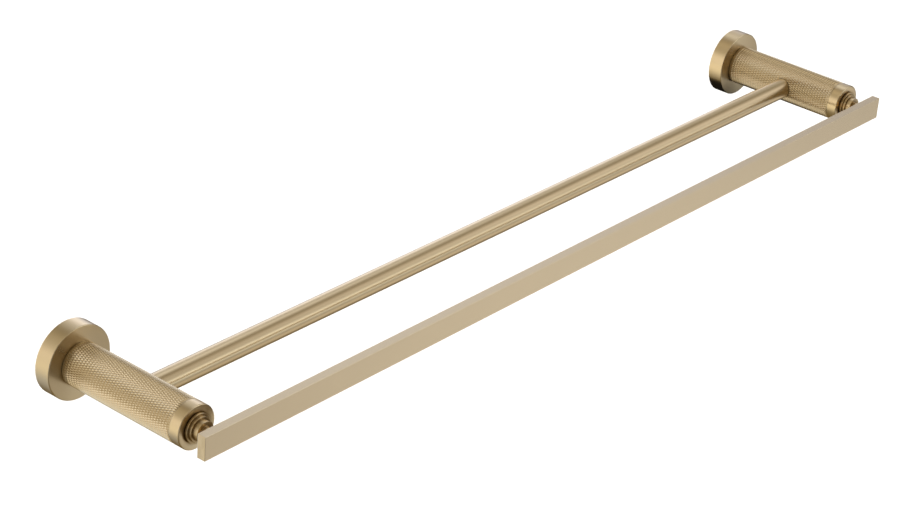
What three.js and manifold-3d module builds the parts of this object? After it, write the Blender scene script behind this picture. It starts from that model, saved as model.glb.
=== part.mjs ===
// A wall-mounted double towel rail: two round flanges, two knurled posts, a round bar
// between the posts and a flat bar across the front.
//
// Millimetres. +X runs along the bars, +Z is up, and the wall is the plane y = 0.
// The rail stands out of the wall towards -Y. The origin is on the wall, midway between
// the two post axes. Each post is made in a group of its own that is turned over, so that
// inside it +Y runs out of the wall along the post's axis and +Z points down.

import * as THREE from 'three';
import { mergeVertices } from 'three/addons/utils/BufferGeometryUtils.js';
import Module from 'manifold-3d';

const wasm = await Module();
wasm.setup();

// Driving dimensions

const RAIL_LENGTH = 800;
const PROJECTION = 147;
const GAP = 0.3;

const FLANGE = { diameter: 55, thickness: 13, rim: 4, face: 3.5, chamfer: 0.6 };
const POST = { diameter: 32.5, bore: 26, knurlLength: 102, chamfer: 0.3 };
const END_RING = { length: 9, spigotLength: 8, chamfer: 0.8 };
const BOSS_STEPS = [
  { diameter: 21.6, length: 2 },
  { diameter: 18.4, length: 2 },
  { diameter: 15, length: 4 },
];
const BOSS_CHAMFER = 0.25;
const NECK_DIAMETER = 8.6;
const FRONT_BAR = { height: 18, thickness: 7, overhang: 15, chamfer: 0.7 };
const REAR_BAR = { diameter: 16.5, wall: 1.5, fromWall: 68, insertion: 8.5, chamfer: 0.3 };

const BRACKET = { diameter: 46, thickness: 6.5, centreHole: 19, grooveDepth: 1.2 };
const WALL_SCREW_HOLE = { diameter: 5, countersink: 9.6, spacing: 30 };
const TIE_ROD = { diameter: 6, start: 1.6, threadInBoss: 5.5, chamfer: 0.5 };
const NUT = { acrossFlats: 10, thickness: 5 };
const WASHER = { diameter: 12.4, thickness: 1.2, chamfer: 0.2 };
const PLUG_CHAMFER = 0.6;
const BASE_PLUG_LENGTH = 12;
const BAR_SEAT_LENGTH = 28;
const GRUB = { diameter: 5, length: 5, inset: 0.25, socketAcrossFlats: 2.5, socketDepth: 2 };
const BAR_STUD = { diameter: 5, inNeck: 6.5, inBar: 4.5, chamfer: 0.4 };

// How many sides the round pieces have, by how large they are

const LARGE = 48;
const MEDIUM = 32;
const SMALL = 16;

// Places along a post's axis, measured from the wall

const sleeveStart = FLANGE.thickness + GAP;
const sleeveEnd = FLANGE.thickness + POST.knurlLength;
const ringStart = sleeveEnd + GAP;
const ringEnd = sleeveEnd + END_RING.length;
const bossStart = ringEnd + GAP;
const barBack = PROJECTION - FRONT_BAR.thickness;
const neckEnd = barBack - GAP;
const flangeFloor = FLANGE.thickness - FLANGE.face;
const washerEnd = flangeFloor - GAP;
const washerStart = washerEnd - WASHER.thickness;
const nutEnd = washerStart - GAP;
const nutStart = nutEnd - NUT.thickness;
const tieRodEnd = bossStart + TIE_ROD.threadInBoss;
const studStart = neckEnd - BAR_STUD.inNeck;
const studEnd = barBack + BAR_STUD.inBar;

// Radii and offsets that follow from the driving dimensions

const postOffset = RAIL_LENGTH / 2 - FRONT_BAR.overhang;
const postRadius = POST.diameter / 2;
const flangeRadius = FLANGE.diameter / 2;
const plugRadius = POST.bore / 2 - GAP;
const tieRodHole = TIE_ROD.diameter / 2 + GAP;
const studHole = BAR_STUD.diameter / 2 + GAP;
const rearBarEnd = postOffset - postRadius + REAR_BAR.insertion;

// Materials

function metal(color, roughness) {
  return new THREE.MeshStandardMaterial({ color, roughness, metalness: 1 });
}

const satinBrass = metal(0xc2a878, 0.35);
const plainBrass = metal(0xb59a62, 0.45);
const steel = metal(0xb4b6b8, 0.3);

// Cutting: a closed geometry becomes a manifold solid, is cut, and comes back as a geometry

function toSolid(geometry) {
  const bare = geometry.clone();
  bare.deleteAttribute('normal');
  bare.deleteAttribute('uv');
  const merged = mergeVertices(bare);
  return new wasm.Manifold(new wasm.Mesh({
    numProp: 3,
    vertProperties: new Float32Array(merged.attributes.position.array),
    triVerts: new Uint32Array(merged.index.array),
  }));
}

function toGeometry(solid) {
  const { vertProperties, triVerts } = solid.getMesh();
  const geometry = new THREE.BufferGeometry();
  geometry.setAttribute('position', new THREE.BufferAttribute(vertProperties, 3));
  geometry.setIndex(new THREE.BufferAttribute(triVerts, 1));
  geometry.computeVertexNormals();
  return geometry;
}

function cut(geometry, ...tools) {
  let solid = toSolid(geometry);
  for (const tool of tools) {
    solid = solid.subtract(toSolid(tool));
  }
  return toGeometry(solid);
}

// Turned shapes, all about the +Y axis. A profile is a list of [radius, height] points.

function turned(profile, sides) {
  const points = profile.map(([radius, height]) => new THREE.Vector2(radius, height));
  return new THREE.LatheGeometry(points, sides);
}

function rod(radius, start, end, chamfer) {
  return turned([
    [0, start],
    [radius - chamfer, start],
    [radius, start + chamfer],
    [radius, end - chamfer],
    [radius - chamfer, end],
    [0, end],
  ], SMALL);
}

function tube(outer, inner, start, end, chamfer, sides) {
  return turned([
    [inner, start],
    [outer - chamfer, start],
    [outer, start + chamfer],
    [outer, end - chamfer],
    [outer - chamfer, end],
    [inner, end],
    [inner, start],
  ], sides);
}

function cylinder(radius, start, end, sides) {
  const straight = new THREE.CylinderGeometry(radius, radius, end - start, sides);
  return straight.translate(0, (start + end) / 2, 0);
}

function hexPrism(acrossFlats, start, end) {
  return cylinder(acrossFlats / Math.sqrt(3), start, end, 6);
}

// The wall bracket: a disc with a groove round its rim for the grub screw, a hole for the
// tie rod's nut, and two countersunk holes for the wall screws

function wallBracket() {
  const radius = BRACKET.diameter / 2;
  const middle = BRACKET.thickness / 2;
  const disc = turned([
    [BRACKET.centreHole / 2, 0],
    [radius, 0],
    [radius, middle - BRACKET.grooveDepth],
    [radius - BRACKET.grooveDepth, middle],
    [radius, middle + BRACKET.grooveDepth],
    [radius, BRACKET.thickness],
    [BRACKET.centreHole / 2, BRACKET.thickness],
    [BRACKET.centreHole / 2, 0],
  ], LARGE);
  const holes = [-1, 1].map((side) =>
    wallScrewHole().translate(side * WALL_SCREW_HOLE.spacing / 2, 0, 0));
  return cut(disc, ...holes);
}

function wallScrewHole() {
  const narrow = WALL_SCREW_HOLE.diameter / 2;
  const wide = WALL_SCREW_HOLE.countersink / 2;
  const mouth = BRACKET.thickness;
  return turned([
    [0, -1],
    [narrow, -1],
    [narrow, mouth - (wide - narrow)],
    [wide, mouth],
    [wide, mouth + 1],
    [0, mouth + 1],
  ], SMALL);
}

// The flange: a cup over the bracket, with a hole in the underside of its rim

function flange() {
  const inner = flangeRadius - FLANGE.rim;
  const cup = turned([
    [inner, 0],
    [flangeRadius, 0],
    [flangeRadius, FLANGE.thickness - FLANGE.chamfer],
    [flangeRadius - FLANGE.chamfer, FLANGE.thickness],
    [tieRodHole, FLANGE.thickness],
    [tieRodHole, flangeFloor],
    [inner, flangeFloor],
    [inner, 0],
  ], LARGE);
  const hole = cylinder(GRUB.diameter / 2 + GAP, inner - 1, flangeRadius + 1, SMALL);
  return cut(cup, pointDown(hole));
}

// A socket set screw whose cone point enters the bracket's groove

function flangeGrubScrew() {
  const radius = GRUB.diameter / 2;
  const head = flangeRadius - GRUB.inset;
  const point = head - GRUB.length;
  const screw = turned([
    [0, point],
    [radius, point + radius],
    [radius, head],
    [0, head],
  ], SMALL);
  const socket = hexPrism(GRUB.socketAcrossFlats, head - GRUB.socketDepth, head + 1);
  return pointDown(cut(screw, socket));
}

// Turns a piece made along +Y to point down from the post's axis, at the groove's height

function pointDown(geometry) {
  return geometry.rotateX(Math.PI / 2).translate(0, BRACKET.thickness / 2, 0);
}

function tieRod() {
  return rod(TIE_ROD.diameter / 2, TIE_ROD.start, tieRodEnd, TIE_ROD.chamfer);
}

function tieRodNut() {
  const hole = cylinder(tieRodHole, nutStart - 1, nutEnd + 1, SMALL);
  return cut(hexPrism(NUT.acrossFlats, nutStart, nutEnd), hole);
}

function tieRodWasher() {
  return tube(WASHER.diameter / 2, tieRodHole, washerStart, washerEnd, WASHER.chamfer, SMALL);
}

// A plug centres the sleeve at the flange. Another one, further out, holds the rear bar's end.

function plug(start, length) {
  return tube(plugRadius, tieRodHole, start, start + length, PLUG_CHAMFER, MEDIUM);
}

function postBasePlug() {
  return plug(sleeveStart, BASE_PLUG_LENGTH);
}

function rearBarSeat(inward) {
  const seat = plug(REAR_BAR.fromWall - BAR_SEAT_LENGTH / 2, BAR_SEAT_LENGTH);
  return cut(seat, rearBarBore(inward));
}

function knurledSleeve(inward) {
  const sleeve = tube(postRadius, POST.bore / 2, sleeveStart, sleeveEnd, POST.chamfer, LARGE);
  return cut(sleeve, rearBarBore(inward));
}

// The bore that the rear bar's end fills. inward is +1 on the post whose bore faces +X and
// -1 on the other.

function rearBarBore(inward) {
  const bottom = postOffset - rearBarEnd - GAP;
  const bore = cylinder(REAR_BAR.diameter / 2 + GAP, bottom, POST.diameter, MEDIUM);
  bore.rotateZ(-inward * Math.PI / 2);
  return bore.translate(0, REAR_BAR.fromWall, 0);
}

// The end ring: a cap on the sleeve, with a spigot inside it

function endRing() {
  const spigotStart = ringStart - END_RING.spigotLength;
  return turned([
    [tieRodHole, spigotStart],
    [plugRadius - PLUG_CHAMFER, spigotStart],
    [plugRadius, spigotStart + PLUG_CHAMFER],
    [plugRadius, ringStart],
    [postRadius - POST.chamfer, ringStart],
    [postRadius, ringStart + POST.chamfer],
    [postRadius, ringEnd - END_RING.chamfer],
    [postRadius - END_RING.chamfer, ringEnd],
    [tieRodHole, ringEnd],
    [tieRodHole, spigotStart],
  ], LARGE);
}

// The boss: steps that get smaller towards the front bar, then a neck. It has a blind hole in
// its back for the tie rod and one in its neck for the front bar's stud.

function steppedBoss() {
  const profile = [
    [0, tieRodEnd + GAP],
    [tieRodHole, tieRodEnd + GAP],
    [tieRodHole, bossStart],
  ];
  let start = bossStart;
  let end = ringEnd;
  for (const { diameter, length } of BOSS_STEPS) {
    end += length;
    profile.push([diameter / 2, start]);
    profile.push([diameter / 2, end - BOSS_CHAMFER]);
    profile.push([diameter / 2 - BOSS_CHAMFER, end]);
    start = end;
  }
  profile.push([NECK_DIAMETER / 2, end]);
  profile.push([NECK_DIAMETER / 2, neckEnd]);
  profile.push([studHole, neckEnd]);
  profile.push([studHole, studStart - GAP]);
  profile.push([0, studStart - GAP]);
  return turned(profile, MEDIUM);
}

function frontBarStud() {
  return rod(BAR_STUD.diameter / 2, studStart, studEnd, BAR_STUD.chamfer);
}

// The bars

function rearBar() {
  const outer = REAR_BAR.diameter / 2;
  const bar = tube(outer, outer - REAR_BAR.wall, -rearBarEnd, rearBarEnd, REAR_BAR.chamfer, MEDIUM);
  return bar.rotateZ(-Math.PI / 2).translate(0, -REAR_BAR.fromWall, 0);
}

function frontBar() {
  const { height, thickness, chamfer } = FRONT_BAR;
  const section = chamferedRectangle(height, thickness, chamfer);
  const straight = RAIL_LENGTH - 2 * chamfer;
  const bar = new THREE.ExtrudeGeometry(section, {
    depth: straight,
    bevelThickness: chamfer,
    bevelSize: chamfer,
    bevelOffset: -chamfer,
    bevelSegments: 1,
  });
  bar.translate(0, 0, -straight / 2);
  bar.rotateY(Math.PI / 2);
  bar.translate(0, -PROJECTION + thickness / 2, 0);
  const holes = [-postOffset, postOffset].map((x) => {
    const hole = cylinder(studHole, barBack - 1, studEnd + GAP, SMALL);
    return hole.rotateX(Math.PI).translate(x, 0, 0);
  });
  return cut(bar, ...holes);
}

function chamferedRectangle(width, height, chamfer) {
  const x = width / 2;
  const y = height / 2;
  const shape = new THREE.Shape();
  shape.moveTo(-x + chamfer, -y);
  shape.lineTo(x - chamfer, -y);
  shape.lineTo(x, -y + chamfer);
  shape.lineTo(x, y - chamfer);
  shape.lineTo(x - chamfer, y);
  shape.lineTo(-x + chamfer, y);
  shape.lineTo(-x, y - chamfer);
  shape.lineTo(-x, -y + chamfer);
  shape.closePath();
  return shape;
}

// The assembly

function piece(name, geometry, material) {
  const mesh = new THREE.Mesh(geometry, material);
  mesh.name = name;
  return mesh;
}

function post(side, inward) {
  const group = new THREE.Group();
  group.add(
    piece(`${side}_wall_bracket`, wallBracket(), steel),
    piece(`${side}_flange`, flange(), satinBrass),
    piece(`${side}_flange_grub_screw`, flangeGrubScrew(), steel),
    piece(`${side}_tie_rod`, tieRod(), steel),
    piece(`${side}_tie_rod_nut`, tieRodNut(), steel),
    piece(`${side}_tie_rod_washer`, tieRodWasher(), steel),
    piece(`${side}_post_base_plug`, postBasePlug(), plainBrass),
    piece(`${side}_knurled_sleeve`, knurledSleeve(inward), satinBrass),
    piece(`${side}_rear_bar_seat`, rearBarSeat(inward), plainBrass),
    piece(`${side}_end_ring`, endRing(), satinBrass),
    piece(`${side}_stepped_boss`, steppedBoss(), satinBrass),
    piece(`${side}_front_bar_stud`, frontBarStud(), steel),
  );
  group.rotation.x = Math.PI;
  group.position.x = -inward * postOffset;
  return group;
}

const towelRail = new THREE.Group();
towelRail.add(
  post('left', 1),
  post('right', -1),
  piece('rear_bar', rearBar(), satinBrass),
  piece('front_bar', frontBar(), satinBrass),
);

export default towelRail;
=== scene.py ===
"""The looks of a wall-mounted double towel rail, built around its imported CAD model.

Metres, in the CAD frame: +X runs along the bars, the wall is the plane y = 0, the rail
stands out of it towards -Y, and +Z is up. "Reach" is a distance out from the wall. Every
piece takes its size and place from the CAD nodes.
"""

import math

import bmesh
import bpy
from mathutils import Matrix, Vector


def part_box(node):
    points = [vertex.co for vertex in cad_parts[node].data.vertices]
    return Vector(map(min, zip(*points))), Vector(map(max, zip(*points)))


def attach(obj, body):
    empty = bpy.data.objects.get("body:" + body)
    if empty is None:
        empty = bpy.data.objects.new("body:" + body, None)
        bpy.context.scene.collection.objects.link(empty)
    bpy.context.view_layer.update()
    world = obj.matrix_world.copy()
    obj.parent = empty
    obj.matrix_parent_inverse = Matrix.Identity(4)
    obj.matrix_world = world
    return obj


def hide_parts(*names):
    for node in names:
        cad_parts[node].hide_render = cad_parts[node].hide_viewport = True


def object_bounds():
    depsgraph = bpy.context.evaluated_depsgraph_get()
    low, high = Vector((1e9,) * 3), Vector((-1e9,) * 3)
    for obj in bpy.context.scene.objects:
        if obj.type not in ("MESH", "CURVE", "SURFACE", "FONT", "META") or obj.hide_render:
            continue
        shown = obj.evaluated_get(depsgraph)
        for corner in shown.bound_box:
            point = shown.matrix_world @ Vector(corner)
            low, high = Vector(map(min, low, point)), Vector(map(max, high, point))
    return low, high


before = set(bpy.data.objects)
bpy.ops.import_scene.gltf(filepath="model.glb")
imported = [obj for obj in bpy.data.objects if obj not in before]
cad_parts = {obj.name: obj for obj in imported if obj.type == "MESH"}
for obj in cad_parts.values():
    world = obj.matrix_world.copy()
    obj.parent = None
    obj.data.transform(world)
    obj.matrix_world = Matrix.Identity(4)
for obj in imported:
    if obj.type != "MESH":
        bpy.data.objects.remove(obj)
cad_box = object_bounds()

MM = 0.001
SIDES = ("left", "right")


# Places, read from the CAD nodes


def axis_x(side):
    """The x of a post's axis."""
    low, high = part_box(f"{side}_flange")
    return (low.x + high.x) / 2


def radius_of(node):
    low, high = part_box(node)
    return (high.x - low.x) / 2


def reach(node):
    """How far from the wall a node starts and ends."""
    low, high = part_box(node)
    return -high.y, -low.y


def inward(side):
    """The sign of x towards the rail's middle."""
    return 1 if axis_x(side) < 0 else -1


POST_X = axis_x("right")
POST_RADIUS = radius_of("right_knurled_sleeve")
GAP = reach("right_knurled_sleeve")[0] - reach("right_flange")[1]
ROD_HOLE = radius_of("right_tie_rod") + GAP

# The usual rounding of an edge, and how far a cutting tool reaches past what it cuts
SOFT_EDGE = 0.3 * MM
OVERCUT = 1 * MM


# Mesh helpers


def mesh_object(name, bm):
    bmesh.ops.recalc_face_normals(bm, faces=bm.faces)
    mesh = bpy.data.meshes.new(name)
    bm.to_mesh(mesh)
    bm.free()
    piece = bpy.data.objects.new(name, mesh)
    bpy.context.scene.collection.objects.link(piece)
    return piece


def filleted(corners, steps=4):
    """Turns (radius, reach, fillet) corners into a profile, with an arc wherever a fillet is given.

    A point on each side of an arc keeps the shading of the flat parts apart from it.
    """
    points = []
    for index, (r, s, fillet) in enumerate(corners):
        corner = Vector((r, s))
        if fillet == 0:
            points.append(corner)
            continue
        before = (Vector(corners[index - 1][:2]) - corner).normalized()
        after = (Vector(corners[(index + 1) % len(corners)][:2]) - corner).normalized()
        half_angle = before.angle(after) / 2
        centre = corner + (before + after).normalized() * fillet / math.sin(half_angle)
        setback = fillet / math.tan(half_angle)
        from_start = corner + before * setback - centre
        from_end = corner + after * setback - centre
        swing = from_start.angle_signed(from_end)
        points.append(corner + before * (setback + fillet / 2))
        for step in range(steps + 1):
            points.append(centre + Matrix.Rotation(-swing * step / steps, 2) @ from_start)
        points.append(corner + after * (setback + fillet / 2))
    return points


def turned(name, corners, x=0, sides=160):
    """A closed ring, turned about a post's axis, or a solid if the corners start and end on it."""
    profile = filleted(corners)
    bm = bmesh.new()
    rings = []
    for r, s in profile:
        count = sides if r > 0 else 1
        angles = [math.tau * step / count for step in range(count)]
        rings.append([bm.verts.new((x + r * math.cos(a), -s, r * math.sin(a))) for a in angles])
    pairs = list(zip(rings, rings[1:]))
    if len(rings[0]) > 1:
        pairs.append((rings[-1], rings[0]))
    for one, other in pairs:
        for step in range(sides):
            after = (step + 1) % sides
            quad = [one[step % len(one)], one[after % len(one)],
                    other[after % len(other)], other[step % len(other)]]
            bm.faces.new(dict.fromkeys(quad))
    return mesh_object(name, bm)


def smooth(piece):
    """Smooth shading that keeps flat faces flat."""
    for polygon in piece.data.polygons:
        polygon.use_smooth = True
    normals = piece.modifiers.new("normals", "WEIGHTED_NORMAL")
    normals.weight = 100
    return piece


def apply_modifiers(piece):
    depsgraph = bpy.context.evaluated_depsgraph_get()
    piece.data = bpy.data.meshes.new_from_object(piece.evaluated_get(depsgraph))
    piece.modifiers.clear()


def combine(piece, tool, operation="DIFFERENCE"):
    """Cuts the tool out of the piece, or keeps only what is inside it, and deletes the tool."""
    boolean = piece.modifiers.new("combine", "BOOLEAN")
    boolean.operation = operation
    boolean.solver = "EXACT"
    boolean.object = tool
    apply_modifiers(piece)
    bpy.data.objects.remove(tool)


def cylinder(start, end, radius, sides=96):
    """A plain cylinder between two points, to cut a hole with."""
    start = Vector(start)
    along = Vector(end) - start
    middle = Matrix.Translation(start + along / 2)
    turn = along.to_track_quat("Z", "Y").to_matrix().to_4x4()
    bm = bmesh.new()
    bmesh.ops.create_cone(bm, cap_ends=True, segments=sides, radius1=radius, radius2=radius,
                          depth=along.length, matrix=middle @ turn)
    return mesh_object("tool", bm)


# The flange and what is inside it


FLANGE_RIM = 4 * MM
FLANGE_FACE = 3.5 * MM
FLANGE_EDGE = 0.5 * MM
FLANGE_CREASE = 0.8 * MM
FLANGE_LIP = 0.2 * MM


def flange(side):
    """A cup that is open towards the wall, with a hole underneath for the grub screw."""
    node = f"{side}_flange"
    start, end = reach(node)
    outer = radius_of(node)
    inner = outer - FLANGE_RIM
    floor = end - FLANGE_FACE
    shell = turned(f"{side}_flange_shell", [
        (ROD_HOLE, floor, 0),
        (inner, floor, FLANGE_CREASE),
        (inner, start, FLANGE_LIP),
        (outer, start, SOFT_EDGE),
        (outer, end, FLANGE_EDGE),
        (ROD_HOLE, end, 0),
    ], axis_x(side), sides=192)
    screw_low, screw_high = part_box(f"{side}_flange_grub_screw")
    screw = (screw_low + screw_high) / 2
    hole_radius = (screw_high.x - screw_low.x) / 2 + GAP
    hole_start = (screw.x, screw.y, -inner + OVERCUT)
    hole_end = (screw.x, screw.y, -outer - OVERCUT)
    combine(shell, cylinder(hole_start, hole_end, hole_radius, 48))
    return smooth(shell)


SOCKET_DEPTH = 2 * MM
SOCKET_RADIUS = 1.45 * MM


def grub_screw(side):
    """A pointed screw with a hexagon socket, turned about the Y axis, then stood upright."""
    low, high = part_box(f"{side}_flange_grub_screw")
    radius = (high.x - low.x) / 2
    length = high.z - low.z
    screw = turned(f"{side}_grub_screw_body", [
        (0, 0, 0),
        (radius, radius, 0),
        (radius, length, SOFT_EDGE),
        (0, length, 0),
    ], sides=48)
    socket_start = (0, -length - OVERCUT, 0)
    socket_end = (0, SOCKET_DEPTH - length, 0)
    combine(screw, cylinder(socket_start, socket_end, SOCKET_RADIUS, 6))
    centre = (low + high) / 2
    down = Matrix.Rotation(math.pi / 2, 4, "X")
    screw.data.transform(Matrix.Translation((centre.x, centre.y, high.z)) @ down)
    return smooth(screw)


BRACKET_HOLE = 9.5 * MM
BRACKET_GROOVE = 1.2 * MM
GROOVE_ROOT = 0.2 * MM
WALL_SCREW_OFFSET = 15 * MM
WALL_SCREW_HOLE = 2.5 * MM
WALL_SCREW_SINK = 4.8 * MM


def wall_bracket(side):
    """A disc with a groove that the grub screw bites in, and two countersunk holes."""
    node = f"{side}_wall_bracket"
    start, end = reach(node)
    outer = radius_of(node)
    middle = (start + end) / 2
    disc = turned(f"{side}_bracket_disc", [
        (BRACKET_HOLE, start, SOFT_EDGE),
        (outer, start, SOFT_EDGE),
        (outer, middle - BRACKET_GROOVE, 0),
        (outer - BRACKET_GROOVE, middle, GROOVE_ROOT),
        (outer, middle + BRACKET_GROOVE, 0),
        (outer, end, SOFT_EDGE),
        (BRACKET_HOLE, end, SOFT_EDGE),
    ], axis_x(side))
    sink_depth = WALL_SCREW_SINK - WALL_SCREW_HOLE
    for sign in (-1, 1):
        combine(disc, turned("tool", [
            (0, start - OVERCUT, 0),
            (WALL_SCREW_HOLE, start - OVERCUT, 0),
            (WALL_SCREW_HOLE, end - sink_depth, 0),
            (WALL_SCREW_SINK, end, 0),
            (WALL_SCREW_SINK, end + OVERCUT, 0),
            (0, end + OVERCUT, 0),
        ], axis_x(side) + sign * WALL_SCREW_OFFSET, sides=48))
    return smooth(disc)


WASHER_EDGE = 0.25 * MM


def washer(side):
    node = f"{side}_tie_rod_washer"
    start, end = reach(node)
    outer = radius_of(node)
    return smooth(turned(f"{side}_washer_ring", [
        (ROD_HOLE, start, WASHER_EDGE),
        (outer, start, WASHER_EDGE),
        (outer, end, WASHER_EDGE),
        (ROD_HOLE, end, WASHER_EDGE),
    ], axis_x(side), sides=96))


# As shares of the radius at the nut's corners
NUT_FLAT = 0.86
NUT_CONE = 0.35


def nut(side):
    """A hexagonal nut whose corners are turned down to cones at both ends."""
    node = f"{side}_tie_rod_nut"
    start, end = reach(node)
    x = axis_x(side)
    low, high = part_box(node)
    corner = (high.z - low.z) / 2
    flat = NUT_FLAT * corner
    cone = NUT_CONE * corner
    body = cylinder((x, -start, 0), (x, -end, 0), corner, 6)
    body.name = f"{side}_nut_body"
    combine(body, turned("tool", [
        (0, start, 0),
        (flat, start, 0),
        (flat + cone, start + cone / 2, 0),
        (flat + cone, end - cone / 2, 0),
        (flat, end, 0),
        (0, end, 0),
    ], x, sides=96), "INTERSECT")
    combine(body, cylinder((x, OVERCUT, 0), (x, -2 * end, 0), ROD_HOLE, 64))
    return body


THREAD_PITCH = 1 * MM
THREAD_DEPTH = 0.55 * MM
ROD_EDGE = 0.5 * MM


def tie_rod(side):
    """A rod with thread rings on the part that the nut takes."""
    node = f"{side}_tie_rod"
    start, end = reach(node)
    radius = radius_of(node)
    thread_end = reach(f"{side}_flange")[1]
    corners = [(0, start, 0), (radius - THREAD_DEPTH, start, 0)]
    turns = int((thread_end - start) / THREAD_PITCH)
    for turn in range(turns):
        s = start + turn * THREAD_PITCH
        corners.append((radius, s + THREAD_PITCH / 2, 0))
        corners.append((radius - THREAD_DEPTH, s + THREAD_PITCH, 0))
    corners.append((radius, start + (turns + 0.5) * THREAD_PITCH, 0))
    corners.append((radius, end, ROD_EDGE))
    corners.append((0, end, 0))
    return smooth(turned(f"{side}_rod", corners, axis_x(side), sides=64))


# The post


KNURL_ROUND = 60
KNURL_ROWS = 39
KNURL_DEPTH = 0.42 * MM
KNURL_FLAT = 0.2
SLEEVE_WALL = 3.25 * MM
REAR_BAR_STOP = 5 * MM


def knurled_tube(name, x, start, end):
    """A tube with a diamond knurl: a grid where crests and roots take turns.

    A crest is cut flat, so it has four corners of its own. A root is one point.
    """
    bm = bmesh.new()
    columns = 2 * KNURL_ROUND
    around = math.tau / columns
    along = (end - start) / (KNURL_ROWS + 1)
    root_radius = POST_RADIUS - KNURL_DEPTH

    def point(radius, column, row):
        angle = around * column
        y = -start - along * row
        return bm.verts.new((x + radius * math.cos(angle), y, radius * math.sin(angle)))

    def is_crest(column, row):
        return (column + row) % 2 == 0 and 0 < row <= KNURL_ROWS

    roots = {}
    for row in range(KNURL_ROWS + 2):
        for column in range(columns):
            if not is_crest(column, row):
                roots[column, row] = point(root_radius, column, row)

    steps = ((1, 0), (0, 1), (-1, 0), (0, -1))
    for row in range(1, KNURL_ROWS + 1):
        for column in range(row % 2, columns, 2):
            top = [point(POST_RADIUS, column + KNURL_FLAT * c, row + KNURL_FLAT * r) for c, r in steps]
            ring = [roots[(column + c) % columns, row + r] for c, r in steps]
            bm.faces.new(top)
            for one in range(4):
                other = (one + 1) % 4
                bm.faces.new((top[one], ring[one], ring[other], top[other]))

    bores = []
    for row, beside in ((0, 1), (KNURL_ROWS + 1, KNURL_ROWS)):
        bore = [point(POST_RADIUS - SLEEVE_WALL, column, row) for column in range(columns)]
        for column in range(columns):
            after = (column + 1) % columns
            edge = (roots[column, row], roots[after, row])
            tip = after if is_crest(column, beside) else column
            bm.faces.new((*edge, roots[tip, beside]))
            bm.faces.new((*edge, bore[after], bore[column]))
        bores.append(bore)
    for column in range(columns):
        after = (column + 1) % columns
        bm.faces.new((bores[0][column], bores[0][after], bores[1][after], bores[1][column]))
    return mesh_object(name, bm)


def knurled_sleeve(side):
    """The knurled tube, with the bore that the rear bar's end goes into."""
    start, end = reach(f"{side}_knurled_sleeve")
    sleeve = knurled_tube(f"{side}_knurl", axis_x(side), start, end)
    low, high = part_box("rear_bar")
    centre = (low + high) / 2
    bore_radius = (high.z - low.z) / 2 + GAP
    bore_start = (axis_x(side) + inward(side) * REAR_BAR_STOP, centre.y, 0)
    bore_end = (axis_x(side) + inward(side) * 2 * POST_RADIUS, centre.y, 0)
    combine(sleeve, cylinder(bore_start, bore_end, bore_radius))
    return sleeve


RING_EDGE = 0.6 * MM


def end_ring(side):
    """The cap on the sleeve's end, with its spigot inside the sleeve."""
    start, end = reach(f"{side}_end_ring")
    shoulder = reach(f"{side}_knurled_sleeve")[1] + GAP
    spigot = POST_RADIUS - SLEEVE_WALL - GAP
    return smooth(turned(f"{side}_end_cap", [
        (ROD_HOLE, start, 0),
        (spigot, start, RING_EDGE),
        (spigot, shoulder, 0),
        (POST_RADIUS, shoulder, SOFT_EDGE),
        (POST_RADIUS, end, RING_EDGE),
        (ROD_HOLE, end, 0),
    ], axis_x(side), sides=192))


# The radius and length of each step
BOSS_STEPS = ((10.8 * MM, 2 * MM), (9.2 * MM, 2 * MM), (7.5 * MM, 4 * MM))
STEP_EDGE = 0.25 * MM
STEP_CREASE = 0.1 * MM
NECK_RADIUS = 4.3 * MM
NECK_CREASE = 0.4 * MM


def stepped_boss(side):
    """Steps that get smaller towards the front bar, then the neck, with a blind hole at each end."""
    start, end = reach(f"{side}_stepped_boss")
    rod_hole_end = reach(f"{side}_tie_rod")[1] + GAP
    stud_hole = radius_of(f"{side}_front_bar_stud") + GAP
    stud_hole_start = reach(f"{side}_front_bar_stud")[0] - GAP
    corners = [(0, rod_hole_end, 0), (ROD_HOLE, rod_hole_end, 0), (ROD_HOLE, start, 0)]
    s = start
    step_end = start - GAP
    for radius, length in BOSS_STEPS:
        step_end += length
        corners.append((radius, s, STEP_CREASE))
        corners.append((radius, step_end, STEP_EDGE))
        s = step_end
    corners.append((NECK_RADIUS, s, NECK_CREASE))
    corners.append((NECK_RADIUS, end, STEP_CREASE))
    corners.append((stud_hole, end, 0))
    corners.append((stud_hole, stud_hole_start, 0))
    corners.append((0, stud_hole_start, 0))
    return smooth(turned(f"{side}_boss", corners, axis_x(side)))


# The bars


REAR_BAR_WALL = 1.5 * MM


def rear_bar():
    """A tube, turned about the Y axis, then laid along X."""
    low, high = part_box("rear_bar")
    outer = (high.z - low.z) / 2
    bar = turned("rear_rail", [
        (outer - REAR_BAR_WALL, low.x, 0),
        (outer, low.x, SOFT_EDGE),
        (outer, high.x, SOFT_EDGE),
        (outer - REAR_BAR_WALL, high.x, 0),
    ], sides=96)
    centre = (low + high) / 2
    bar.data.transform(Matrix.Translation(centre) @ Matrix.Rotation(math.pi / 2, 4, "Z"))
    return smooth(bar)


BAR_EDGE = 0.25 * MM


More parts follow.
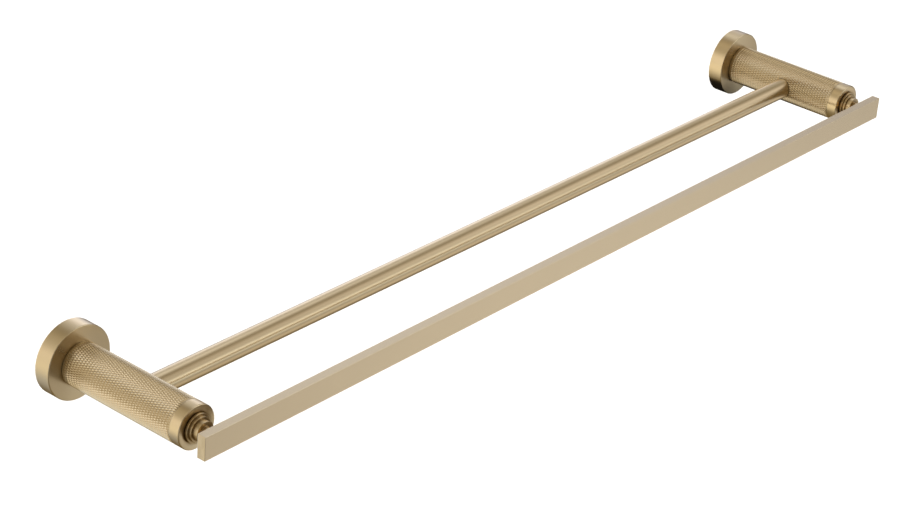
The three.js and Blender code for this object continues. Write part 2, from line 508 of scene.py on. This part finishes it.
def front_bar():
    """A flat bar with softened edges and two blind holes in its back for the studs."""
    low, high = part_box("front_bar")
    bm = bmesh.new()
    size = Matrix.Diagonal((*(high - low), 1))
    bmesh.ops.create_cube(bm, size=1, matrix=Matrix.Translation((low + high) / 2) @ size)
    bmesh.ops.bevel(bm, geom=bm.edges[:], offset=BAR_EDGE, segments=3, profile=0.5, affect="EDGES")
    flats = sorted(bm.faces, key=lambda face: face.calc_area())[-6:]
    bmesh.ops.inset_individual(bm, faces=flats, thickness=BAR_EDGE)
    bar = mesh_object("front_rail", bm)
    for side in SIDES:
        stud = f"{side}_front_bar_stud"
        start, end = reach(stud)
        x = axis_x(side)
        combine(bar, cylinder((x, -start, 0), (x, -end - GAP, 0), radius_of(stud) + GAP, 48))
    return smooth(bar)


# Materials


CHAMPAGNE = (0.776, 0.617, 0.376)
RAW_BRASS = (0.70, 0.52, 0.24)
STAINLESS = (0.60, 0.59, 0.57)


def scaled(colour, factor):
    return tuple(min(1, factor * c) for c in colour)


def paler(colour, white):
    """The colour mixed with a share of white."""
    return tuple((1 - white) * c + white for c in colour)


def add(tree, kind, inputs, **settings):
    """Adds a shader node. Each input is a value to set or another node's output to link."""
    node = tree.nodes.new(f"ShaderNode{kind}")
    for name, value in settings.items():
        setattr(node, name, value)
    for key, value in inputs.items():
        if isinstance(value, bpy.types.NodeSocket):
            tree.links.new(value, node.inputs[key])
        else:
            node.inputs[key].default_value = value
    return node


def maths(tree, operation, *values):
    return add(tree, "Math", dict(enumerate(values)), operation=operation).outputs[0]


def ranged(tree, value, low, high, to_low, to_high):
    """Carries a value from one range to another."""
    return add(tree, "MapRange", {
        "Value": value, "From Min": low, "From Max": high, "To Min": to_low, "To Max": to_high,
    }).outputs["Result"]


# How closely the streaks lie: per metre across the grain, per metre along it on the tube and on
# the flat bar, and per radian round a turned part
FINE_GRAIN = 4000
TUBE_GRAIN = 200
FLAT_GRAIN = 60
TURNED_GRAIN = 1.5
STREAKS = {"Scale": 1, "Detail": 4, "Roughness": 0.7}


def from_axis(tree):
    """A point's distance from the nearer post's axis, its offset from that axis, and its y."""
    coordinates = add(tree, "TexCoord", {}).outputs["Object"]
    x, y, z = add(tree, "SeparateXYZ", {0: coordinates}).outputs
    off_axis = maths(tree, "SUBTRACT", maths(tree, "ABSOLUTE", x), POST_X)
    flat = add(tree, "CombineXYZ", {0: off_axis, 2: z}).outputs[0]
    radius = add(tree, "VectorMath", {0: flat}, operation="LENGTH").outputs["Value"]
    return radius, flat, y


def turned_grain(tree):
    """Fine streaks that run round a post's axis."""
    radius, flat, y = from_axis(tree)
    heading = add(tree, "VectorMath", {0: flat}, operation="NORMALIZE").outputs["Vector"]
    turn = add(tree, "SeparateXYZ", {0: heading}).outputs
    vector = add(tree, "CombineXYZ", {
        0: maths(tree, "MULTIPLY", radius, FINE_GRAIN),
        1: maths(tree, "MULTIPLY", y, FINE_GRAIN),
        2: maths(tree, "MULTIPLY", turn[0], TURNED_GRAIN),
    }).outputs[0]
    last = maths(tree, "MULTIPLY", turn[2], TURNED_GRAIN)
    noise = add(tree, "TexNoise", {"Vector": vector, "W": last, **STREAKS}, noise_dimensions="4D")
    return noise.outputs["Fac"]


def drawn_grain(tree, stretch):
    """Fine streaks in the direction of the axis that is stretched least."""
    coordinates = add(tree, "TexCoord", {}).outputs["Object"]
    vector = add(tree, "VectorMath", {0: coordinates, 1: stretch}, operation="MULTIPLY").outputs[0]
    return add(tree, "TexNoise", {"Vector": vector, **STREAKS}).outputs["Fac"]


def clouds(tree, scale):
    """Soft unevenness, with about as many clouds per metre as the scale."""
    coordinates = add(tree, "TexCoord", {}).outputs["Object"]
    return add(tree, "TexNoise", {
        "Vector": coordinates, "Scale": scale, "Detail": 2,
    }).outputs["Fac"]


# Pointiness is 0.5 on flat parts and less in hollows
WEAR_STARTS = 0.52
WORN = 0.6


def edge_wear(tree):
    """1 on sharp outer edges, 0 on flat and hollow parts."""
    pointiness = add(tree, "NewGeometry", {}).outputs["Pointiness"]
    return ranged(tree, pointiness, WEAR_STARTS, WORN, 0, 1)


# How wide a hollow is that gets painted shade
HOLLOW_SIZE = 3 * MM


def hollow_shade_mask(tree):
    """1 deep in a hollow about as wide as a step of the boss, 0 in the open; it masks the painted
    shade.
    """
    openness = add(tree, "AmbientOcclusion", {"Distance": HOLLOW_SIZE}, samples=8).outputs["AO"]
    return ranged(tree, openness, 1, 0.5, 0, 1)


def blend(tree, factor, first, second):
    """Mixes two colours, each a value or another node's output."""
    colours = [c if isinstance(c, bpy.types.NodeSocket) else (*c, 1) for c in (first, second)]
    return add(tree, "MixRGB", {
        "Fac": factor, "Color1": colours[0], "Color2": colours[1],
    }, use_clamp=True).outputs[0]


TINT_SWING = 0.07
WORN_WHITE = 0.25
WORN_SHARE = 0.5


def tinted(tree, colour, shade, wear):
    """The colour, darker or lighter by the shade and paler by the wear."""
    body = blend(tree, shade, scaled(colour, 1 - TINT_SWING), scaled(colour, 1 + TINT_SWING))
    worn = maths(tree, "MULTIPLY", wear, WORN_SHARE)
    return blend(tree, worn, body, paler(colour, WORN_WHITE))


def new_metal(name):
    """A material, its node tree and its shader, which is set to metal."""
    material = bpy.data.materials.new(name)
    material.use_nodes = True
    tree = material.node_tree
    shader = tree.nodes["Principled BSDF"]
    shader.inputs["Metallic"].default_value = 1
    return material, tree, shader


def relief(tree, shader, height, distance):
    bump = add(tree, "Bump", {"Height": height, "Strength": 0.3, "Distance": distance})
    tree.links.new(bump.outputs[0], shader.inputs["Normal"])


def stretch_highlights(tree, shader, axis, across):
    """Stretches highlights round the axis, or a quarter turn from that direction."""
    shader.inputs["Anisotropic"].default_value = STRETCH
    shader.inputs["Anisotropic Rotation"].default_value = 0.25 if across else 0
    tangent = add(tree, "Tangent", {}, direction_type="RADIAL", axis=axis)
    tree.links.new(tangent.outputs[0], shader.inputs["Tangent"])


# Most of a noise lies between these
NOISE_LOW = 0.3
NOISE_HIGH = 0.7

CLOUDS_PER_METRE = 60
ROUGHNESS_SWING = 0.015
WORN_POLISH = 0.06


def brushed_metal(name, colour, grain, roughness, grain_height, shade_in_hollows=False):
    """A metal with grain in its colour, roughness and relief, and maybe painted shade in its hollows.

    Gives the material, its node tree and its shader.
    """
    material, tree, shader = new_metal(name)
    streaks = grain(tree)
    wear = edge_wear(tree)
    half_streaks = maths(tree, "MULTIPLY", streaks, 0.5)
    shade = maths(tree, "MULTIPLY_ADD", clouds(tree, CLOUDS_PER_METRE), 0.5, half_streaks)
    surface = tinted(tree, colour, shade, wear)
    if shade_in_hollows:
        # Painted shade: the colour is darkened in hollows, found by ambient occlusion.
        painted_hollow_shade = tuple(0.5 * c ** 2 for c in colour)
        surface = blend(tree, hollow_shade_mask(tree), surface, painted_hollow_shade)
    tree.links.new(surface, shader.inputs["Base Color"])
    smoothest = roughness - ROUGHNESS_SWING
    roughest = roughness + ROUGHNESS_SWING
    dull = ranged(tree, streaks, NOISE_LOW, NOISE_HIGH, smoothest, roughest)
    polish = maths(tree, "MULTIPLY", wear, -WORN_POLISH)
    tree.links.new(maths(tree, "ADD", dull, polish), shader.inputs["Roughness"])
    relief(tree, shader, streaks, grain_height)
    return material, tree, shader


SATIN_ROUGHNESS = 0.3
STRETCH = 0.6
GRAIN_HEIGHT = 5e-7


def satin_brass(name, grain, axis, across, shade_in_hollows=False):
    """The finish of every part that is seen, apart from the knurl."""
    material, tree, shader = brushed_metal(
        name, CHAMPAGNE, grain, SATIN_ROUGHNESS, GRAIN_HEIGHT, shade_in_hollows)
    stretch_highlights(tree, shader, axis, across)
    return material


def turned_brass():
    return satin_brass("turned_brass", turned_grain, "Y", True)


def hollow_shaded_brass():
    """The turned brass of the small parts, with shade painted darker into the hollows between their
    steps.
    """
    return satin_brass("hollow_shaded_brass", turned_grain, "Y", True, shade_in_hollows=True)


def tube_brass():
    """Ground round the tube."""
    def grain(tree):
        return drawn_grain(tree, (FINE_GRAIN, TUBE_GRAIN, TUBE_GRAIN))
    return satin_brass("tube_brass", grain, "X", True)


def flat_brass():
    """Brushed along the bar."""
    def grain(tree):
        return drawn_grain(tree, (FLAT_GRAIN, FINE_GRAIN, FINE_GRAIN))
    return satin_brass("flat_brass", grain, "X", False)


LATHE_ROUGHNESS = 0.35
LATHE_MARKS = 2e-5
STEEL_ROUGHNESS = 0.28
STEEL_MARKS = 1.5e-5


def plain_brass():
    """The hidden brass parts, as they come from the lathe."""
    return brushed_metal("plain_brass", RAW_BRASS, turned_grain, LATHE_ROUGHNESS, LATHE_MARKS)[0]


def steel():
    return brushed_metal("steel", STAINLESS, turned_grain, STEEL_ROUGHNESS, STEEL_MARKS)[0]


# Painted shade in the knurl's grooves and a painted highlight on its crests, as shares of the colour
GROOVE_PAINTED_SHADE = 0.8
GROOVE_ROUGHNESS = 0.34
CREST_PAINTED_HIGHLIGHT = 0.15
CREST_ROUGHNESS = 0.2
SPECKLES_PER_METRE = 900
SPECKLE_SHARE = 0.2
SPECKLE_HEIGHT = 8e-6


def knurled_brass():
    """Brass whose grooves are duller than its crests, with painted shade in the grooves and a painted
    highlight on the crests.
    """
    material, tree, shader = new_metal("knurled_brass")
    radius = from_axis(tree)[0]
    height = ranged(tree, radius, POST_RADIUS - KNURL_DEPTH, POST_RADIUS, 0, 1)
    speckle = clouds(tree, SPECKLES_PER_METRE)
    base = maths(tree, "SUBTRACT", height, SPECKLE_SHARE / 2)
    mixed = maths(tree, "MULTIPLY_ADD", speckle, SPECKLE_SHARE, base)
    # Painted shade darkens the grooves and a painted highlight makes the crests paler, by the knurl's
    # height.
    colour = blend(tree, mixed, scaled(CHAMPAGNE, GROOVE_PAINTED_SHADE), paler(CHAMPAGNE, CREST_PAINTED_HIGHLIGHT))
    tree.links.new(colour, shader.inputs["Base Color"])
    dull = ranged(tree, height, 0, 1, GROOVE_ROUGHNESS, CREST_ROUGHNESS)
    tree.links.new(dull, shader.inputs["Roughness"])
    relief(tree, shader, speckle, SPECKLE_HEIGHT)
    return material


# Studio


# The photo's camera. Azimuth and elevation say which way it looks: azimuth from +Y towards +X,
# elevation downwards. Lean is about its own line of sight. All three are in degrees.
CAMERA_PLACE = (-1.362563, -1.098637, 0.853739)
CAMERA_AZIMUTH = 51.700
CAMERA_ELEVATION = 27.658
CAMERA_LEAN = 4.667
FOCAL_LENGTH_MM = 98.546


def camera():
    data = bpy.data.cameras.new("camera")
    data.lens = FOCAL_LENGTH_MM
    data.sensor_width = 36
    data.clip_end = 50
    item = bpy.data.objects.new("camera", data)
    bpy.context.scene.collection.objects.link(item)
    item.matrix_world = (
        Matrix.Translation(CAMERA_PLACE)
        @ Matrix.Rotation(-math.radians(CAMERA_AZIMUTH), 4, "Z")
        @ Matrix.Rotation(math.radians(90 - CAMERA_ELEVATION), 4, "X")
        @ Matrix.Rotation(math.radians(CAMERA_LEAN), 4, "Z")
    )
    bpy.context.scene.camera = item


# The studio that the metal mirrors, in degrees. Azimuth runs from the wall's side (0) through
# +X (90) to the front (180).
#   azimuth, elevation, spread, colour
SOFTBOXES = (
    (349, 6, 14, (2.64, 2.67, 2.69)),
    (44, 10, 12, (1.51, 1.60, 1.93)),
    (350, -27, 12, (1.36, 1.65, 2.10)),
    (143, 0, 12, (1.91, 2.04, 2.17)),
    (58, 57, 12, (1.08, 1.18, 1.40)),
    (117, 28, 12, (0.95, 0.97, 1.08)),
    (297, -17, 17, (1.18, 1.11, 0.93)),
    (117, -36, 12, (0.87, 0.85, 0.83)),
    (289, 69, 14, (0.96, 0.91, 0.82)),
    (292, 18, 15, (0.93, 0.88, 0.83)),
    (197, -13, 15, (0.65, 0.72, 0.79)),
)

# How bright the studio is apart from the softboxes, by the sine of the elevation
ROOM = (
    (-1, (0.24, 0.18, 0.07)),
    (-0.4, (0.04, 0.03, 0.02)),
    (0, (0.015, 0.015, 0.02)),
    (0.3, (0.17, 0.14, 0.105)),
    (0.6, (0.17, 0.14, 0.07)),
    (1, (0.15, 0.10, 0.03)),
)


def towards(azimuth, elevation):
    """A unit vector towards a direction in degrees."""
    azimuth = math.radians(azimuth)
    elevation = math.radians(elevation)
    return Vector((math.sin(azimuth) * math.cos(elevation),
                   math.cos(azimuth) * math.cos(elevation),
                   math.sin(elevation)))


def softbox(tree, direction, azimuth, elevation, spread, colour):
    """A soft spot of light in the distance, at 0.6 of its strength when its spread away."""
    cosine = add(tree, "VectorMath", {0: direction, 1: towards(azimuth, elevation)},
                 operation="DOT_PRODUCT").outputs["Value"]
    away = maths(tree, "SUBTRACT", cosine, 1)
    fall = maths(tree, "EXPONENT", maths(tree, "DIVIDE", away, math.radians(spread) ** 2))
    return add(tree, "VectorMath", {0: colour, "Scale": fall}, operation="SCALE").outputs["Vector"]


def room(tree, direction):
    """The studio's own brightness, which changes only with height."""
    height = add(tree, "SeparateXYZ", {0: direction}).outputs["Z"]
    ramp = add(tree, "ValToRGB", {"Fac": ranged(tree, height, -1, 1, 0, 1)})
    elements = ramp.color_ramp.elements
    while len(elements) < len(ROOM):
        elements.new(0.5)
    for element, (sine, colour) in zip(elements, ROOM):
        element.position = (sine + 1) / 2
        element.color = (*colour, 1)
    return ramp.outputs["Color"]


def studio():
    """A room with soft lights that only the metal sees. The camera sees a plain pale backdrop."""
    world = bpy.data.worlds.new("studio")
    bpy.context.scene.world = world
    world.use_nodes = True
    tree = world.node_tree
    direction = add(tree, "TexCoord", {}).outputs["Generated"]
    total = room(tree, direction)
    for values in SOFTBOXES:
        lit = softbox(tree, direction, *values)
        total = add(tree, "VectorMath", {0: total, 1: lit}, operation="ADD").outputs["Vector"]
    mirrored = tree.nodes["Background"]
    tree.links.new(total, mirrored.inputs["Color"])
    backdrop = add(tree, "Background", {"Color": (1, 1, 1, 1)})
    seen = add(tree, "LightPath", {}).outputs["Is Camera Ray"]
    mix = add(tree, "MixShader", {0: seen, 1: mirrored.outputs[0], 2: backdrop.outputs[0]})
    tree.links.new(mix.outputs[0], tree.nodes["World Output"].inputs["Surface"])


LAMP_STRENGTH = 2.6
LAMP_WIDTH = 60


def floor_lamp():
    """A wide lamp that lights the floor and isn't mirrored in the metal."""
    data = bpy.data.lights.new("floor_lamp", "SUN")
    data.energy = LAMP_STRENGTH
    data.angle = math.radians(LAMP_WIDTH)
    lamp = bpy.data.objects.new("floor_lamp", data)
    lamp.visible_glossy = False
    bpy.context.scene.collection.objects.link(lamp)


FLOOR_SIZE = 20
FLOOR_DROP = 0.6
FLAG_SIZE = 0.2
FLAG_PLACE = (POST_X + 0.15, 0.13, -0.06)


def matt_sheet(name, half_width, location, grey):
    """A square, level sheet of matt material that isn't part of the rail."""
    bm = bmesh.new()
    bmesh.ops.create_grid(bm, x_segments=1, y_segments=1, size=half_width)
    sheet = mesh_object(name, bm)
    sheet.location = location
    material = bpy.data.materials.new(name)
    material.use_nodes = True
    shader = material.node_tree.nodes["Principled BSDF"]
    shader.inputs["Base Color"].default_value = (grey, grey, grey, 1)
    shader.inputs["Roughness"].default_value = 1
    shader.inputs["Specular IOR Level"].default_value = 0
    sheet.data.materials.append(material)
    return sheet


def pale_floor():
    """The floor, which the metal doesn't mirror."""
    floor = matt_sheet("floor", FLOOR_SIZE, (0, 0, cad_box[0].z - FLOOR_DROP), grey=0.9)
    floor.visible_glossy = False


def black_flag():
    """A black card close under the right flange, which darkens that flange's underside.

    Only mirror rays meet it.
    """
    flag = matt_sheet("card", FLAG_SIZE, FLAG_PLACE, grey=0.01)
    flag.visible_camera = False
    flag.visible_diffuse = False
    flag.visible_shadow = False


# The whole thing


def put(piece, node, material):
    """Lets a piece stand for a CAD node."""
    piece.data.materials.clear()
    piece.data.materials.append(material)
    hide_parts(node)
    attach(piece, "root")


camera()
studio()
floor_lamp()
pale_floor()
black_flag()

turned_finish = turned_brass()
hollow_shaded_finish = hollow_shaded_brass()
knurl_finish = knurled_brass()
plain_finish = plain_brass()
steel_finish = steel()

# Made again for each side: how, for which CAD node, in which slot and with which material
SIDE_PIECES = (
    (flange, "flange", "satin_brass", turned_finish),
    (grub_screw, "flange_grub_screw", "steel", steel_finish),
    (wall_bracket, "wall_bracket", "steel", steel_finish),
    (washer, "tie_rod_washer", "steel", steel_finish),
    (nut, "tie_rod_nut", "steel", steel_finish),
    (tie_rod, "tie_rod", "steel", steel_finish),
    (knurled_sleeve, "knurled_sleeve", "knurled_brass", knurl_finish),
    (end_ring, "end_ring", "satin_brass", hollow_shaded_finish),
    (stepped_boss, "stepped_boss", "satin_brass", hollow_shaded_finish),
)

# Nothing shows these, so they keep their CAD meshes
KEPT_NODES = (
    ("post_base_plug", plain_finish),
    ("rear_bar_seat", plain_finish),
    ("front_bar_stud", steel_finish),
)

for side in SIDES:
    for make, node, slot, finish in SIDE_PIECES:
        put(make(side), f"{side}_{node}", finish)
    for node, finish in KEPT_NODES:
        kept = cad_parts[f"{side}_{node}"]
        kept.data.materials.clear()
        kept.data.materials.append(finish)
put(rear_bar(), "rear_bar", tube_brass())
put(front_bar(), "front_bar", flat_brass())

bpy.context.scene.view_settings.view_transform = "Standard"
